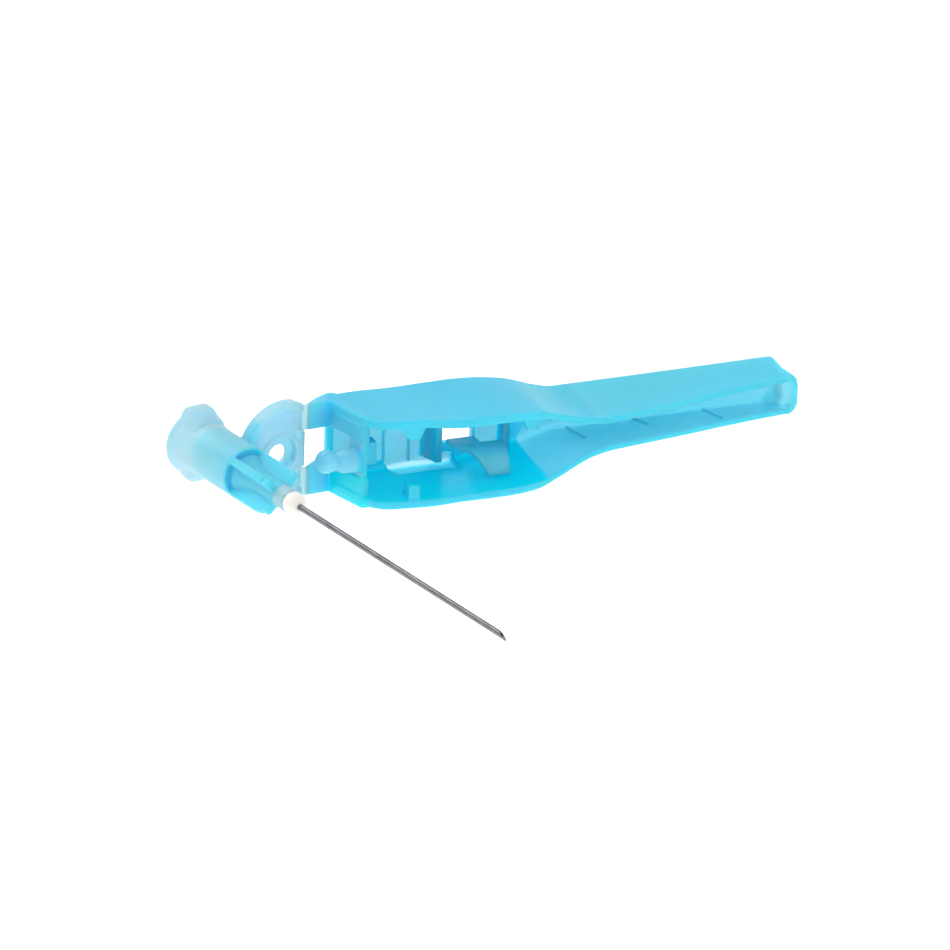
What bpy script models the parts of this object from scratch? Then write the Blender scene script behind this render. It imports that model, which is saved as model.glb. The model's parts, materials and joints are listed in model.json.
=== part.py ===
"""Safety hypodermic needle with a hinged sheath, 23 gauge by 38 mm.

A Luer-lock hub carries the steel cannula.  A latch plate on the side of the hub holds two
film hinges, and the sheath swings on them: forward over the cannula, or back along the syringe.

Sheath coordinates (all lengths here in millimetres until they reach a mesh):
    along   from the hinge line towards the sheath's tip, world +X at rest
    out     from the hinge line towards the sheath's open side, world -Y at rest
    up      from the mid plane, world +Z
Hub coordinates: local +X from the hub's axis to the hinge line, local +Y up, local +Z along the
cannula, with the origin where the hub's axis meets the latch plate's front face.
"""
from math import cos, pi, radians, sin

import bmesh
import bpy
from mathutils import Matrix, Vector

MM = 0.001

# Placing: the hinge line's place, so that the origin is the middle of the object's footprint.
HINGE_PLACE = (-19.90, 22.42, 5.30)
HUB_TURN = radians(11.7)          # how far the hub is turned from square to the sheath
HUB_TO_HINGE = 8.43               # from the hub's axis to the hinge line
GAP = 0.06                        # clearance between neighbouring pieces

# Cannula, 23 gauge
CANNULA_RADIUS = 0.32
CANNULA_BORE = 0.17
CANNULA_START = 1.0
CANNULA_TIP = 49.9
BEVEL_LENGTH = 1.6

# Hub, stations along the cannula's axis
HUB_REAR = -7.45
HUB_RIM_RADIUS = 3.45
HUB_RIM_LENGTH = 0.7
HUB_FLARE_END = -4.2
HUB_RADIUS = 2.75
HUB_BODY_END = 2.5
HUB_NOSE_RADIUS = 2.0
HUB_NOSE_END = 4.5
HUB_CORE_RADIUS = 1.3
FIN_THICKNESS = 0.8
FIN_REACH = 2.74
FIN_STEP_REACH = 2.36
FIN_START = 2.2
FIN_STEP = 7.6
FIN_END = 8.9
FIN_ROOT = 0.9
FIN_CHAMFER = 0.3
NECK_RADIUS = 1.2
NECK_END = 10.75
LUER_MOUTH_RADIUS = 2.135
LUER_TAPER = 0.03
LUER_DEPTH = 7.6
LUG_REACH = 3.9
LUG_ROOT = 2.6
LUG_CHAMFER = 0.25
LUG_HALF_WIDTH = 1.7
LUG_LENGTH = 1.3
BEAD_RADIUS = 1.28
BEAD_SIDE = 0.35
BEAD_LENGTH = 1.5

# Latch plate
PLATE_CENTRE = 6.5
PLATE_RADIUS = 5.3
PLATE_THICKNESS = 1.6
PLATE_EDGE_FRONT = HUB_TO_HINGE - 0.25
PLATE_EDGE_REAR = HUB_TO_HINGE - 1.0
SOCKET_CENTRE = (5.65, -0.1)
SOCKET_RADIUS = 1.9
SOCKET_DEPTH = 0.95
SOCKET_HOLE_CENTRE = (5.85, -0.45)
SOCKET_HOLE_RADIUS = 1.1

# Film hinges
STRAP_INNER = 2.05
STRAP_OUTER = 4.8
STRAP_HALF_LENGTH = 0.19
STRAP_THICKNESS = 0.35

# Sheath: (along, value) points that smooth curves pass through
SHEATH_START = 2.9
SHEATH_END = 52.55
BACK_FACE = -2.3
WEB_THICKNESS = 0.9
WALL_THICKNESS = 0.8
SKIN_THICKNESS = 0.35
FRONT_EDGE = [(2.7, -0.2), (4.3, 4.8), (5.2, 6.0), (6.5, 6.8), (9.5, 7.3), (12.5, 7.8), (17.0, 8.0),
              (20.6, 7.9), (24.6, 7.2), (30.2, 6.15), (39.5, 4.35), (45.6, 3.1), (52.9, 1.9)]
FRONT_HALF_HEIGHT = [(2.7, 4.6), (6.0, 4.75), (9.5, 4.75), (14.5, 4.4), (18.9, 4.4), (22.3, 4.15),
                     (24.6, 3.45), (28.3, 2.25), (31.0, 1.88), (38.0, 1.9), (52.9, 2.05)]
UPPER_BACK_HEIGHT = [(2.7, 4.75), (16.5, 4.75), (19.1, 4.6), (22.3, 4.0), (25.5, 2.95), (27.5, 2.6),
                     (52.9, 2.7)]
LOWER_BACK_HEIGHT = [(2.7, 4.4), (18.9, 4.4), (20.7, 4.1), (24.6, 2.95), (27.5, 2.35), (52.9, 2.4)]

# Yoke: the sheath's slanted end frame, and the two arms that carry the film hinges
ARM_START = 0.25
YOKE_HEIGHT = 4.85
YOKE_FRONT = [(2.7, -0.2), (4.3, 4.8)]
YOKE_BACK = [(5.2, 4.9), (3.8, 0.0), (3.9, -2.2), (3.0, -2.25), (1.5, -1.4), (ARM_START, -0.36)]
WINDOW_HALF_HEIGHT = 2.0
POST = [(3.95, 3.3), (4.33, 4.62), (5.05, 4.7), (4.65, 3.3)]
POST_HALF_HEIGHT = 4.3
END_WALL_THICKNESS = 0.7
END_WALL_HALF_HEIGHT = 1.6

# Latch peg: a bulb and a lobe behind it, each a little taller than it is wide
PEG_RADIUS = 1.12
PEG_NECK_RADIUS = 0.9
PEG_TIP = (0.97, 3.4)
PEG_LOBE = (2.8, 3.78)
PEG_ROOT = (3.75, 3.95)
PEG_LEVEL = -0.15
PEG_TALLNESS = 1.15

# Panels and features inside the sheath
SIDE_WINDOW_ALONG = (15.3, 18.6)
SIDE_WINDOW_UP = (-2.05, 1.8)
SKIN_PANELS = [(7.2, 14.2), (18.9, 21.8)]
SKIN_PANEL_HALF_HEIGHT = 3.2
FLOOR_PANEL_ALONG = (10.0, 16.6)
FLOOR_PANEL_OUT = (-1.35, 0.55)
FLOOR_LEVEL = -4.4
RIB_TILT = 0.45
STOP_RIB = (14.2, 14.8)
STOP_RIB_OUT = 0.45
STOP_RIB_HALF_HEIGHT = 3.5
REAR_RIB = (21.9, 22.3)
REAR_RIB_OUT = -0.4
REAR_RIB_HALF_HEIGHT = 2.75
CROSS_RIBS = [(28.6, 2.7), (35.9, 1.5), (43.5, 2.6)]   # (along at the web, out at the front end)
CROSS_RIB_SLANT = 0.65
CROSS_RIB_WIDTH = 0.25
CROSS_RIB_HEIGHT = 0.3
TOOTH_HALF_LENGTH = 0.9
TOOTH_RAMP = 1.3
REST_START = 14.9
REST_STEP = 17.9
REST_END = 20.2
REST_LEVEL = -0.6
REST_ROOT_OUT = 0.8
REST_LEVEL_LENGTH = 1.9
REST_LEVEL_SHARE = 0.3
REST_REACH = 2.4
REST_DROP = 2.7
REST_THICKNESS = 0.5

PLASTIC = (0.16, 0.62, 0.82)
STEEL = (0.55, 0.56, 0.58)
EPOXY = (0.86, 0.84, 0.80)


def clear_scene():
    for item in list(bpy.data.objects):
        bpy.data.objects.remove(item, do_unlink=True)


def make_material(name, colour, roughness, metallic=0.0):
    material = bpy.data.materials.new(name)
    material.use_nodes = True
    shader = material.node_tree.nodes["Principled BSDF"]
    shader.inputs["Base Color"].default_value = (*colour, 1.0)
    shader.inputs["Roughness"].default_value = roughness
    shader.inputs["Metallic"].default_value = metallic
    return material


def smooth_value(points, place):
    """Monotone cubic through the points, so that it never overshoots them."""
    if place <= points[0][0]:
        return points[0][1]
    if place >= points[-1][0]:
        return points[-1][1]
    slopes = [(b[1] - a[1]) / (b[0] - a[0]) for a, b in zip(points, points[1:])]
    tangents = [slopes[0]]
    for before, after in zip(slopes, slopes[1:]):
        tangents.append(0.0 if before * after <= 0 else 2 * before * after / (before + after))
    tangents.append(slopes[-1])
    index = max(i for i in range(len(slopes)) if points[i][0] <= place)
    width = points[index + 1][0] - points[index][0]
    t = (place - points[index][0]) / width
    return ((1 + 2 * t) * (1 - t) ** 2 * points[index][1] + t * (1 - t) ** 2 * width * tangents[index]
            + t * t * (3 - 2 * t) * points[index + 1][1] + t * t * (t - 1) * width * tangents[index + 1])


def sheath_point(along, out, up):
    return Vector((along, -out, up)) * MM


def hub_point(across, up, forward):
    return Vector((across, up, forward)) * MM


def new_object(name, builder, material, parent, smooth=False):
    """Make an object from a filled bmesh, with its faces pointing out."""
    bmesh.ops.recalc_face_normals(builder, faces=builder.faces)
    mesh = bpy.data.meshes.new(name)
    builder.to_mesh(mesh)
    builder.free()
    if smooth:
        mesh.shade_smooth()
        mesh.set_sharp_from_angle(angle=radians(35))
    item = bpy.data.objects.new(name, mesh)
    bpy.context.collection.objects.link(item)
    item.data.materials.append(material)
    item.parent = parent
    return item


def loft(rings):
    """A closed solid through rings of points, with both ends capped."""
    builder = bmesh.new()
    rows = [[builder.verts.new(point) for point in ring] for ring in rings]
    count = len(rings[0])
    for row, following in zip(rows, rows[1:]):
        for i in range(count):
            builder.faces.new((row[i], row[(i + 1) % count], following[(i + 1) % count], following[i]))
    builder.faces.new(rows[0])
    builder.faces.new(list(reversed(rows[-1])))
    return builder


def prism(outline, low, high):
    """A plan outline in sheath coordinates, raised from one height to another."""
    return loft([[sheath_point(along, out, up) for along, out in outline] for up in (low, high)])


def sheath_box(along, out, up):
    outline = [(along[0], out[0]), (along[1], out[0]), (along[1], out[1]), (along[0], out[1])]
    return prism(outline, up[0], up[1])


def hub_box(across, up, forward):
    corners = [(across[0], up[0]), (across[1], up[0]), (across[1], up[1]), (across[0], up[1])]
    return loft([[hub_point(x, y, z) for x, y in corners] for z in forward])


def turned(profile, steps=48):
    """A closed profile of (radius, forward) points, turned about the hub's axis."""
    builder = bmesh.new()
    loop = [builder.verts.new(hub_point(radius, 0, forward)) for radius, forward in profile]
    edges = [builder.edges.new((loop[i], loop[(i + 1) % len(loop)])) for i in range(len(loop))]
    bmesh.ops.spin(builder, geom=loop + edges, cent=(0, 0, 0), axis=(0, 0, 1), angle=2 * pi,
                   steps=steps, use_merge=True)
    bmesh.ops.remove_doubles(builder, verts=builder.verts, dist=1e-7)
    return builder


def turned_solid(profile, steps=48):
    """A (radius, forward) profile turned into a solid bar, flat at both ends."""
    turns = [2 * pi * i / steps for i in range(steps)]
    return loft([[hub_point(radius * cos(t), radius * sin(t), forward) for t in turns]
                 for radius, forward in profile])


def disc_prism(centre, radius, forward, steps=48):
    """A round bar along the hub's axis, centred on a place (across, up) beside it."""
    turns = [2 * pi * i / steps for i in range(steps)]
    return loft([[hub_point(centre[0] + radius * cos(t), centre[1] + radius * sin(t), z) for t in turns]
                 for z in forward])


def combine(target, tools, operation):
    """Boolean the tools into the target, then keep the result as its mesh."""
    for tool in tools:
        modifier = target.modifiers.new("combine", "BOOLEAN")
        modifier.operation = operation
        modifier.object = tool
        bpy.context.view_layer.update()
        evaluated = target.evaluated_get(bpy.context.evaluated_depsgraph_get())
        mesh = bpy.data.meshes.new_from_object(evaluated)
        target.modifiers.clear()
        target.data = mesh
        bpy.data.objects.remove(tool, do_unlink=True)


def hub_flare():
    """Outline of the hub's rim, a quarter ellipse from the rear rim down to the body."""
    steps = 6
    rise = HUB_RIM_RADIUS - HUB_RADIUS
    length = HUB_FLARE_END - (HUB_REAR + HUB_RIM_LENGTH)
    turns = [0.5 * pi * i / steps for i in range(steps + 1)]
    return [(HUB_RIM_RADIUS - rise * sin(t), HUB_FLARE_END - length * cos(t)) for t in turns]


def hub_lug(side):
    low, high = LUG_ROOT, LUG_REACH - LUG_CHAMFER
    outline = [(low, 0.0), (high, 0.0), (LUG_REACH, LUG_CHAMFER), (LUG_REACH, LUG_LENGTH - LUG_CHAMFER),
               (high, LUG_LENGTH), (low, LUG_LENGTH + 0.7)]
    return loft([[hub_point(x, side * y, HUB_REAR + z) for y, z in outline]
                 for x in (-LUG_HALF_WIDTH, LUG_HALF_WIDTH)])


def hub_fin(angle):
    """Thin plate along the hub's nose, narrower in front of its step, turned about the hub's axis."""
    outline = [(FIN_ROOT, FIN_START), (FIN_REACH, FIN_START), (FIN_REACH, FIN_STEP),
               (FIN_STEP_REACH, FIN_STEP + 0.15), (FIN_STEP_REACH, FIN_END - FIN_CHAMFER),
               (FIN_STEP_REACH - FIN_CHAMFER, FIN_END), (FIN_ROOT, FIN_END)]
    builder = loft([[hub_point(radius, side, forward) for radius, forward in outline]
                    for side in (-FIN_THICKNESS / 2, FIN_THICKNESS / 2)])
    bmesh.ops.rotate(builder, cent=(0, 0, 0), matrix=Matrix.Rotation(angle, 3, "Z"), verts=builder.verts)
    return builder


def build_hub(frame, material):
    """Luer hub: flared rim with two lugs, round body, nose with four fins in an X, and neck."""
    mouth = LUER_MOUTH_RADIUS
    bore_end = (mouth - LUER_TAPER * LUER_DEPTH, HUB_REAR + LUER_DEPTH)
    seat = CANNULA_RADIUS + GAP
    seat_start = CANNULA_START + 0.4
    chamfer = 0.15
    core_end = FIN_END + 0.1
    profile = [(mouth, HUB_REAR), (HUB_RIM_RADIUS - chamfer, HUB_REAR), (HUB_RIM_RADIUS, HUB_REAR + chamfer)]
    profile += hub_flare()
    profile += [(HUB_RADIUS, HUB_BODY_END), (HUB_NOSE_RADIUS, HUB_BODY_END), (HUB_CORE_RADIUS, HUB_NOSE_END),
                (HUB_CORE_RADIUS, core_end), (NECK_RADIUS, core_end), (NECK_RADIUS, NECK_END),
                (seat, NECK_END), (seat, seat_start), bore_end]
    hub = new_object("luer_hub", turned(profile), material, frame, smooth=True)

    added = [hub_lug(-1), hub_lug(1)]
    added += [hub_fin(radians(45 + 90 * quarter)) for quarter in range(4)]
    combine(hub, [new_object("added", builder, material, frame) for builder in added], "UNION")

    overshoot = 0.5
    bore_profile = [(mouth + 0.02, HUB_REAR - overshoot), (mouth, HUB_REAR), bore_end, (seat, seat_start),
                    (seat, NECK_END + overshoot)]
    combine(hub, [new_object("bore", turned_solid(bore_profile), material, frame)], "DIFFERENCE")


def build_bead(frame, material):
    """Domed bead of epoxy where the cannula leaves the neck."""
    seat = CANNULA_RADIUS + 0.02
    start = NECK_END + GAP
    steps = 8
    turns = [0.5 * pi * i / steps for i in range(steps + 1)]
    rise = BEAD_LENGTH - BEAD_SIDE
    profile = [(seat, start), (BEAD_RADIUS - 0.12, start)]
    profile += [(seat + (BEAD_RADIUS - seat) * cos(t), start + BEAD_SIDE + rise * sin(t)) for t in turns]
    new_object("epoxy_bead", turned(profile, 32), material, frame, smooth=True)


def build_cannula(frame, material):
    """Steel tube with a slanted point that faces up and towards the hinge."""
    steps = 24
    facing = radians(60)
    rings = []
    corners = [(CANNULA_RADIUS, True), (CANNULA_RADIUS, False), (CANNULA_BORE, False), (CANNULA_BORE, True)]
    for radius, rear in corners:
        ring = []
        for i in range(steps):
            t = 2 * pi * i / steps
            drop = BEVEL_LENGTH * (1 + radius / CANNULA_RADIUS * cos(t - facing)) / 2
            forward = CANNULA_START if rear else CANNULA_TIP - drop
            ring.append(hub_point(radius * cos(t), radius * sin(t), forward))
        rings.append(ring)
    builder = bmesh.new()
    rows = [[builder.verts.new(point) for point in ring] for ring in rings]
    for row, following in zip(rows, rows[1:] + rows[:1]):
        for i in range(steps):
            builder.faces.new((row[i], row[(i + 1) % steps], following[(i + 1) % steps], following[i]))
    new_object("cannula", builder, material, frame, smooth=True)


def build_latch_plate(frame, material):
    """Round plate beside the hub, cut off along the hinge line, with the latch peg's stepped socket."""
    steps = 64
    turns = [2 * pi * i / steps for i in range(steps)]
    outline = [(PLATE_CENTRE + PLATE_RADIUS * cos(t), PLATE_RADIUS * sin(t)) for t in turns]
    rings = [[hub_point(min(across, edge), up, forward) for across, up in outline]
             for forward, edge in ((-PLATE_THICKNESS, PLATE_EDGE_REAR), (0.0, PLATE_EDGE_FRONT))]
    plate = new_object("latch_plate", loft(rings), material, frame, smooth=True)
    behind = -PLATE_THICKNESS - 1
    cuts = [disc_prism((0, 0), HUB_RADIUS + GAP, (behind, 1)),
            disc_prism(SOCKET_CENTRE, SOCKET_RADIUS, (-SOCKET_DEPTH, 1)),
            disc_prism(SOCKET_HOLE_CENTRE, SOCKET_HOLE_RADIUS, (behind, 1)),
            hub_box((-9, 0.9), (-9, 9), (behind, 1))]
    combine(plate, [new_object("cut", cut, material, frame) for cut in cuts], "DIFFERENCE")


def build_straps(frame, material):
    for name, low, high in (("hinge_strap_upper", STRAP_INNER, STRAP_OUTER),
                            ("hinge_strap_lower", -STRAP_OUTER, -STRAP_INNER)):
        strap = sheath_box((-STRAP_HALF_LENGTH, STRAP_HALF_LENGTH), (-STRAP_THICKNESS, -0.02), (low, high))
        new_object(name, strap, material, frame)


def shell_ring(along):
    """The sheath's channel section: outer face from the top edge round to the bottom, then inner face."""
    front = smooth_value(FRONT_EDGE, along)
    front_height = smooth_value(FRONT_HALF_HEIGHT, along)
    radius = 0.8
    corner = [radians(90 + 90 * i / 4) for i in range(5)]
    inner_out = BACK_FACE + WEB_THICKNESS
    halves = []
    for side, heights in ((1, UPPER_BACK_HEIGHT), (-1, LOWER_BACK_HEIGHT)):
        back_height = smooth_value(heights, along)
        outer = [(front, front_height - 0.15), (front - 0.15, front_height)]
        outer += [(BACK_FACE + radius + radius * cos(t), back_height - radius + radius * sin(t))
                  for t in corner]
        inner = [(inner_out, back_height - WALL_THICKNESS), (front, front_height - WALL_THICKNESS)]
        halves.append([[sheath_point(along, out, side * up) for out, up in row] for row in (outer, inner)])
    upper, lower = halves
    return upper[0] + lower[0][::-1] + lower[1][::-1] + upper[1]


def build_shell(frame, material):
    stations = [SHEATH_START, 3.6, 4.3, 4.75, 5.2, 5.9, 6.5, 8.0, 9.5, 11.0, 12.5, 14.5, 17.0, 18.9,
                20.0, 21.0, 22.3, 23.4, 24.6, 25.8, 27.0, 28.3, 29.6, 31.0, 34.0, 38.0, 42.0, 46.0, 50.0,
                SHEATH_END]
    shell = new_object("sheath_shell", loft([shell_ring(a) for a in stations]), material, frame, smooth=True)

    front = smooth_value(FRONT_EDGE, SHEATH_END) - 0.1
    end_wall = sheath_box((SHEATH_END - END_WALL_THICKNESS, SHEATH_END - 0.01), (BACK_FACE + 0.4, front),
                          (-END_WALL_HALF_HEIGHT, END_WALL_HALF_HEIGHT))
    band = [(ARM_START, 0.0), *YOKE_FRONT, *YOKE_BACK]
    added = [end_wall, prism(POST, -POST_HALF_HEIGHT, POST_HALF_HEIGHT),
             prism(band, -YOKE_HEIGHT, -WINDOW_HALF_HEIGHT), prism(band, WINDOW_HALF_HEIGHT, YOKE_HEIGHT)]
    combine(shell, [new_object("added", builder, material, frame) for builder in added], "UNION")

    inner = BACK_FACE + WEB_THICKNESS + 0.1
    skin = BACK_FACE + SKIN_THICKNESS
    height = (-SKIN_PANEL_HALF_HEIGHT, SKIN_PANEL_HALF_HEIGHT)
    cuts = [sheath_box(SIDE_WINDOW_ALONG, (BACK_FACE - 1, inner), SIDE_WINDOW_UP)]
    cuts += [sheath_box(panel, (skin, inner), height) for panel in SKIN_PANELS]
    cuts.append(sheath_box(FLOOR_PANEL_ALONG, FLOOR_PANEL_OUT,
                           (FLOOR_LEVEL + SKIN_THICKNESS, FLOOR_LEVEL + 1)))
    combine(shell, [new_object("cut", cut, material, frame) for cut in cuts], "DIFFERENCE")


def build_peg(frame, material):
    """Bulb that snaps into the latch plate's socket, on a lobe that joins the yoke's post."""
    steps = 20
    tip = Vector(PEG_TIP)
    lobe = Vector(PEG_LOBE)
    forward = (lobe - tip).normalized()
    side = Vector((-forward.y, forward.x))
    angles = [pi * (1 - i / 9) for i in range(1, 8)]
    sections = [(tip + forward * PEG_RADIUS * cos(t), PEG_RADIUS * sin(t)) for t in angles]
    sections += [(tip.lerp(lobe, 0.52), PEG_NECK_RADIUS), (tip.lerp(lobe, 0.75), PEG_RADIUS - 0.06),
                 (lobe, PEG_RADIUS), (Vector(PEG_ROOT), PEG_RADIUS - 0.08)]
    turns = [2 * pi * i / steps for i in range(steps)]
    rings = []
    for centre, radius in sections:
        places = [centre + side * radius * cos(t) for t in turns]
        rings.append([sheath_point(place.x, place.y, PEG_LEVEL + PEG_TALLNESS * radius * sin(t))
                      for place, t in zip(places, turns)])
    new_object("latch_peg", loft(rings), material, frame, smooth=True)


def build_tooth(name, frame, material, middle, out, tip, root):
    """Wedge that hangs from a wall, with a long ramp on the side that the needle comes from."""
    outline = [(out - TOOTH_RAMP, root), (out - 0.5, tip), (out - 0.15, tip), (out, root)]
    rings = [[sheath_point(along, o, up) for o, up in outline]
             for along in (middle - TOOTH_HALF_LENGTH, middle + TOOTH_HALF_LENGTH)]
    new_object(name, loft(rings), material, frame)


def wall_inside(along, out, side):
    """Height of the inner face of the sheath's upper (side 1) or lower (side -1) wall."""
    front = smooth_value(FRONT_EDGE, along)
    inner_out = BACK_FACE + WEB_THICKNESS
    share = (out - inner_out) / (front - inner_out)
    front_height = smooth_value(FRONT_HALF_HEIGHT, along)
    back_height = smooth_value(UPPER_BACK_HEIGHT if side > 0 else LOWER_BACK_HEIGHT, along)
    return side * ((1 - share) * back_height + share * front_height - WALL_THICKNESS)


def build_ribs(frame, material):
    """Two ribs across the web, either side of the window, and low ribs on the narrow part's floor."""
    inner = BACK_FACE + WEB_THICKNESS + GAP
    ribs = [("stop_rib", STOP_RIB, STOP_RIB_OUT, STOP_RIB_HALF_HEIGHT),
            ("rear_rib", REAR_RIB, REAR_RIB_OUT, REAR_RIB_HALF_HEIGHT)]
    for name, (start, end), out, half in ribs:
        outline = [(start - RIB_TILT, inner), (end - RIB_TILT, inner), (end, out), (start, out)]
        new_object(name, prism(outline, -half, half), material, frame)
    for number, (middle, front) in enumerate(CROSS_RIBS, 1):
        rings = []
        for step in (-CROSS_RIB_WIDTH / 2, CROSS_RIB_WIDTH / 2):
            rear_along, front_along = middle + step, middle + step + CROSS_RIB_SLANT
            rear_level = wall_inside(rear_along, inner, -1) + GAP
            front_level = wall_inside(front_along, front, -1) + GAP
            rings.append([sheath_point(rear_along, inner, rear_level),
                          sheath_point(front_along, front, front_level),
                          sheath_point(front_along, front, front_level + CROSS_RIB_HEIGHT),
                          sheath_point(rear_along, inner, rear_level + CROSS_RIB_HEIGHT)])
        new_object(f"cross_rib_{number}", loft(rings), material, frame)


def rest_curve(share):
    """The cannula rest's upper face: level at first, then a quarter ellipse down to the floor."""
    if share < REST_LEVEL_SHARE:
        return Vector((REST_ROOT_OUT + REST_LEVEL_LENGTH * share / REST_LEVEL_SHARE, REST_LEVEL))
    t = 0.5 * pi * (share - REST_LEVEL_SHARE) / (1 - REST_LEVEL_SHARE)
    bend = REST_ROOT_OUT + REST_LEVEL_LENGTH
    return Vector((bend + REST_REACH * sin(t), REST_LEVEL - REST_DROP * (1 - cos(t))))


def rest_ring(along, first, last):
    """The tongue's section at one station, over a part of its curve."""
    steps = 8
    upper = []
    lower = []
    for i in range(steps + 1):
        share = first + (last - first) * i / steps
        here = rest_curve(share)
        step = (rest_curve(min(share + 0.01, 1.0)) - rest_curve(max(share - 0.01, 0.0))).normalized()
        inward = Vector((step.y, -step.x))
        upper.append(here)
        lower.append(here + inward * REST_THICKNESS)
    return [sheath_point(along, p.x, p.y) for p in upper + lower[::-1]]


def build_rest(frame, material):
    """Springy tongue that holds the cannula at mid height; it bends about its root on the stop rib."""
    arch = 0.27
    rings = [rest_ring(REST_START, 0.0, 0.12), rest_ring((REST_START + REST_STEP) / 2, 0.0, 0.5),
             rest_ring(REST_STEP, 0.0, 1.0), rest_ring(REST_STEP + 0.01, arch, 1.0),
             rest_ring(REST_END, arch, 1.0)]
    builder = loft(rings)
    root = sheath_point(REST_START, 0.0, REST_LEVEL)
    bmesh.ops.translate(builder, vec=-root, verts=builder.verts)
    rest = new_object("cannula_rest", builder, material, frame)
    rest.location = root


def build_teeth(frame, material):
    """Teeth on the walls' inner faces: two in the channel's mouth, one over the cannula."""
    teeth = [("lock_tooth_upper", 9.1, 7.0, 2.6, 1), ("lock_tooth_lower", 8.9, 7.05, 2.5, -1),
             ("keeper_tooth_upper", 21.8, 7.0, 1.95, 1)]
    for name, middle, out, tip, side in teeth:
        root = min(wall_inside(middle + step, out - back, 1)
                   for step in (-TOOTH_HALF_LENGTH, TOOTH_HALF_LENGTH) for back in (0, TOOTH_RAMP))
        build_tooth(name, frame, material, middle, out, side * tip, side * (root - GAP))


def build_frames():
    """Empties for the hinge line and the hub's axis."""
    hinge = bpy.data.objects.new("hinge_frame", None)
    hinge.location = Vector(HINGE_PLACE) * MM
    hub = bpy.data.objects.new("hub_frame", None)
    hub.parent = hinge
    hub.location = Matrix.Rotation(HUB_TURN, 3, "Z") @ Vector((-HUB_TO_HINGE * MM, 0, 0))
    hub.rotation_euler = (radians(90), 0, HUB_TURN)
    for item in (hinge, hub):
        bpy.context.collection.objects.link(item)
    return hinge, hub


def main():
    clear_scene()
    hinge, hub = build_frames()
    build_hub(hub, make_material("hub_plastic", PLASTIC, 0.35))
    build_latch_plate(hub, make_material("plate_plastic", PLASTIC, 0.35))
    build_bead(hub, make_material("epoxy", EPOXY, 0.3))
    build_cannula(hub, make_material("steel", STEEL, 0.25, 1.0))
    plastic = make_material("sheath_plastic", PLASTIC, 0.35)
    build_straps(hinge, plastic)
    build_shell(hinge, plastic)
    build_peg(hinge, plastic)
    build_ribs(hinge, plastic)
    build_teeth(hinge, plastic)
    build_rest(hinge, plastic)


main()
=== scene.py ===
"""Looks of the safety hypodermic needle: moulded translucent plastic, steel cannula, epoxy bead.

The pieces are modelled in millimetres in their own coordinates and then placed in the frame. The sheath's are
along (from the hinge line to the tip), out (from the web to the open side) and up. The hub's are across (from
its axis to the hinge line), up and forward (along the cannula). A moulded piece is made into one skin by a
fine voxel remesh, which gives every edge its moulded radius.
"""

from math import cos, pi, radians, sin
import json

import bmesh
import bpy
import numpy as np
from mathutils import Matrix, Vector
from mathutils.bvhtree import BVHTree


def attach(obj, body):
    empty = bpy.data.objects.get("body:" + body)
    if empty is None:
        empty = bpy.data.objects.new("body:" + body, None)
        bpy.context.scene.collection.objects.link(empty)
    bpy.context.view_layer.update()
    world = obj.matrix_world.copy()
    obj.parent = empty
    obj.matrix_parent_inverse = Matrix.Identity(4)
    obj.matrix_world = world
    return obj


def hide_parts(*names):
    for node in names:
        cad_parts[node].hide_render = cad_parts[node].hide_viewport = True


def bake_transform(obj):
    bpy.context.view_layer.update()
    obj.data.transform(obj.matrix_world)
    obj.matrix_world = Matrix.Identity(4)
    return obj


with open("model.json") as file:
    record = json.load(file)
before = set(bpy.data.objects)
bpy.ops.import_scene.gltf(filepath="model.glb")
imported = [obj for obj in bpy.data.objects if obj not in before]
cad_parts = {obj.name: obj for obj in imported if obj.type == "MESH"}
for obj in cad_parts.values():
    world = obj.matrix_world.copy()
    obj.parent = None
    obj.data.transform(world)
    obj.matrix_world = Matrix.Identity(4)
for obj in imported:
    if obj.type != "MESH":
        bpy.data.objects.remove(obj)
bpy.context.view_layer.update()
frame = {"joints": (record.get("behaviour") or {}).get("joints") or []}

MM = 0.001
HUB_TO_HINGE = 8.43
HUB_TURN = radians(11.7)
HINGE_JOINT = next(joint for joint in frame["joints"] if joint["name"] == "sheath_hinge")
HINGE = Vector(HINGE_JOINT["pos_m"])
SHEATH_PLACE = Matrix.Translation(HINGE) @ Matrix.Diagonal((MM, -MM, MM, 1.0))
HUB_PLACE = (Matrix.Translation(HINGE) @ Matrix.Rotation(HUB_TURN, 4, "Z")
             @ Matrix.Translation((-HUB_TO_HINGE * MM, 0, 0)) @ Matrix.Rotation(radians(90), 4, "X")
             @ Matrix.Scale(MM, 4))

# How finely the skins are made: the remesh's cells and the share of faces kept after it
VOXEL = 0.085
REST_VOXEL = 0.06
FILM_VOXEL = 0.05
FACES_KEPT = 0.35

# The cannula
CANNULA_RADIUS = 0.32
CANNULA_BORE = 0.17
CANNULA_START = 1.0
CANNULA_TIP = 49.9
BEVEL_HALF_LENGTH = 0.8
BEVEL_FACING = radians(60)

# The hub, stations along the cannula's axis
HUB_REAR = -7.45
HUB_RIM_RADIUS = 3.45
HUB_RADIUS = 2.75
HUB_BODY_END = 2.5
HUB_CORE_RADIUS = 1.3
FIN_ROOT = 0.9
FIN_START = 2.2
FIN_THICKNESS = 0.8
FIN_REACH = 2.74
FIN_STEP_REACH = 2.36
FIN_END = 8.9
FIN_CHAMFER = 0.25
LUG_HALF_WIDTH = 1.95
LUG_STATIONS = [(-7.45, 3.78), (-7.3, 3.9), (-6.1, 3.9), (-5.8, 3.78), (-5.3, 3.3), (-4.6, 2.9)]
NECK_RADIUS = 1.2
NECK_END = 10.75
LUER_MOUTH_RADIUS = 2.135
LUER_END_RADIUS = 1.907
LUER_DEPTH = 7.6

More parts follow.
